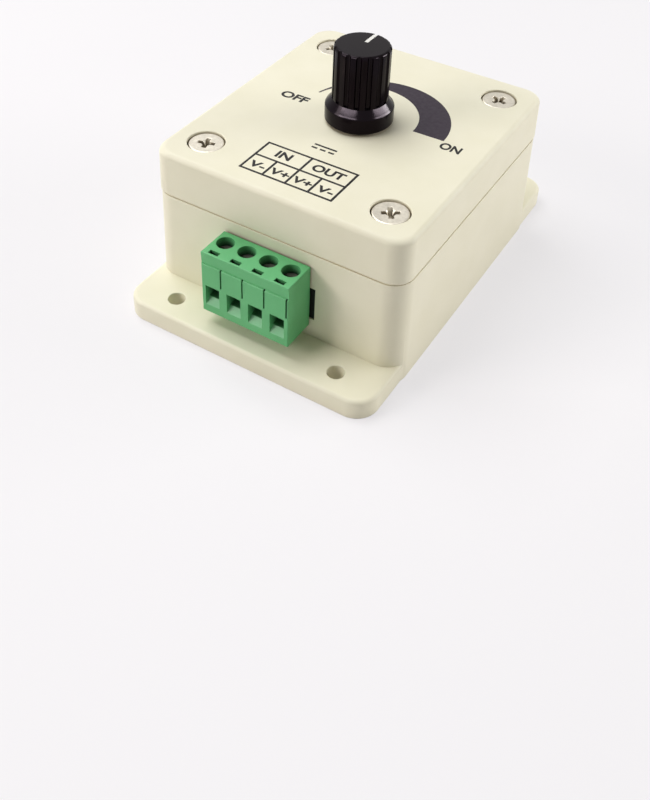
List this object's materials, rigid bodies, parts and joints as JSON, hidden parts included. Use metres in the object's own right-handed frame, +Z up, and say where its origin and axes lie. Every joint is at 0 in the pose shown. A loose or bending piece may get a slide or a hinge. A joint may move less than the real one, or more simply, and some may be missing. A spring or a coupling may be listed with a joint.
{
  "type": "led strip dimmer",
  "caption": "Rotary dimmer for low-voltage LED strip: flanged two-part plastic case, fluted knob on the cover and a pluggable screw terminal in the front wall.",
  "frame": {"origin": "middle of the case's underside, on the surface it stands on or is screwed to", "axes": "+Z up through the knob, +Y from the terminal side to the rear flange, +X to the right when the terminal faces the viewer"},
  "size_m": [0.0586, 0.0892, 0.0525],
  "materials": {
    "case_plastic": "cream ABS, fine satin mould finish",
    "knob_plastic": "black moulded plastic, slight sheen",
    "terminal_plastic": "green polyamide, satin",
    "header_plastic": "black polyamide",
    "screw_steel": "plated steel",
    "pot_steel": "plated steel",
    "contact_brass": "bare brass",
    "tinned_metal": "tinned",
    "board_laminate": "green solder mask",
    "wafer_laminate": "brown phenolic laminate",
    "lead_insulation": "red PVC insulation",
    "chip_plastic": "black moulding compound",
    "capacitor_sleeve": "dark sleeve",
    "film_plastic": "yellow moulded box",
    "resistor_coat": "tan lacquer"
  },
  "bodies": {
    "case": {"base_shell": "case_plastic", "cover_shell": "case_plastic", "cover_screws": "screw_steel", "circuit_board": "board_laminate", "board_screws": "screw_steel", "terminal_header": "header_plastic", "header_pins": "tinned_metal", "pot_bushing": "pot_steel", "pot_wafer": "wafer_laminate", "pot_can": "pot_steel", "pot_lugs": "tinned_metal", "pot_leads": "lead_insulation", "pot_nut": "pot_steel", "pot_washer": "pot_steel", "timer_chip": "chip_plastic", "timer_chip_legs": "tinned_metal", "supply_capacitor": "capacitor_sleeve", "timing_capacitor": "film_plastic", "steering_diodes": "chip_plastic", "resistors": "resistor_coat", "transistor_body": "chip_plastic", "transistor_tab": "tinned_metal", "transistor_legs": "tinned_metal"},
    "knob": {"dimmer_knob": "knob_plastic", "pot_shaft": "pot_steel", "pot_rotor": "chip_plastic", "pot_wiper": "contact_brass"},
    "plug": {"terminal_plug": "terminal_plastic", "plug_contacts": "contact_brass"},
    "screw_1": {"clamp_screw_1": "screw_steel"},
    "cage_1": {"clamp_cage_1": "tinned_metal"},
    "screw_2": {"clamp_screw_2": "screw_steel"},
    "cage_2": {"clamp_cage_2": "tinned_metal"},
    "screw_3": {"clamp_screw_3": "screw_steel"},
    "cage_3": {"clamp_cage_3": "tinned_metal"},
    "screw_4": {"clamp_screw_4": "screw_steel"},
    "cage_4": {"clamp_cage_4": "tinned_metal"}
  },
  "joints": [
    {"name": "knob_turn", "type": "hinge", "parent": "case", "child": "knob", "pos_m": [0, 0, 0.035], "axis": [0, 0, -1], "range_deg": [-150, 150]},
    {"name": "plug_slide", "type": "slide", "parent": "case", "child": "plug", "axis": [0, -1, 0], "range_m": [0, 0.012]},
    {"name": "clamp_turn_1", "type": "hinge", "parent": "plug", "child": "screw_1", "pos_m": [-0.00822, -0.03657, 0.017], "axis": [0, 0, -1], "range_deg": [0, 1440]},
    {"name": "clamp_lift_1", "type": "slide", "parent": "plug", "child": "cage_1", "axis": [0, 0, 1], "range_m": [0, 0.002]},
    {"name": "clamp_turn_2", "type": "hinge", "parent": "plug", "child": "screw_2", "pos_m": [-0.00314, -0.03657, 0.017], "axis": [0, 0, -1], "range_deg": [0, 1440]},
    {"name": "clamp_lift_2", "type": "slide", "parent": "plug", "child": "cage_2", "axis": [0, 0, 1], "range_m": [0, 0.002]},
    {"name": "clamp_turn_3", "type": "hinge", "parent": "plug", "child": "screw_3", "pos_m": [0.00194, -0.03657, 0.017], "axis": [0, 0, -1], "range_deg": [0, 1440]},
    {"name": "clamp_lift_3", "type": "slide", "parent": "plug", "child": "cage_3", "axis": [0, 0, 1], "range_m": [0, 0.002]},
    {"name": "clamp_turn_4", "type": "hinge", "parent": "plug", "child": "screw_4", "pos_m": [0.00702, -0.03657, 0.017], "axis": [0, 0, -1], "range_deg": [0, 1440]},
    {"name": "clamp_lift_4", "type": "slide", "parent": "plug", "child": "cage_4", "axis": [0, 0, 1], "range_m": [0, 0.002]}
  ],
  "couplings": [
    {"joint": "clamp_turn_1", "follows": "clamp_lift_1", "rad_per_m": 12566},
    {"joint": "clamp_turn_2", "follows": "clamp_lift_2", "rad_per_m": 12566},
    {"joint": "clamp_turn_3", "follows": "clamp_lift_3", "rad_per_m": 12566},
    {"joint": "clamp_turn_4", "follows": "clamp_lift_4", "rad_per_m": 12566}
  ]
}
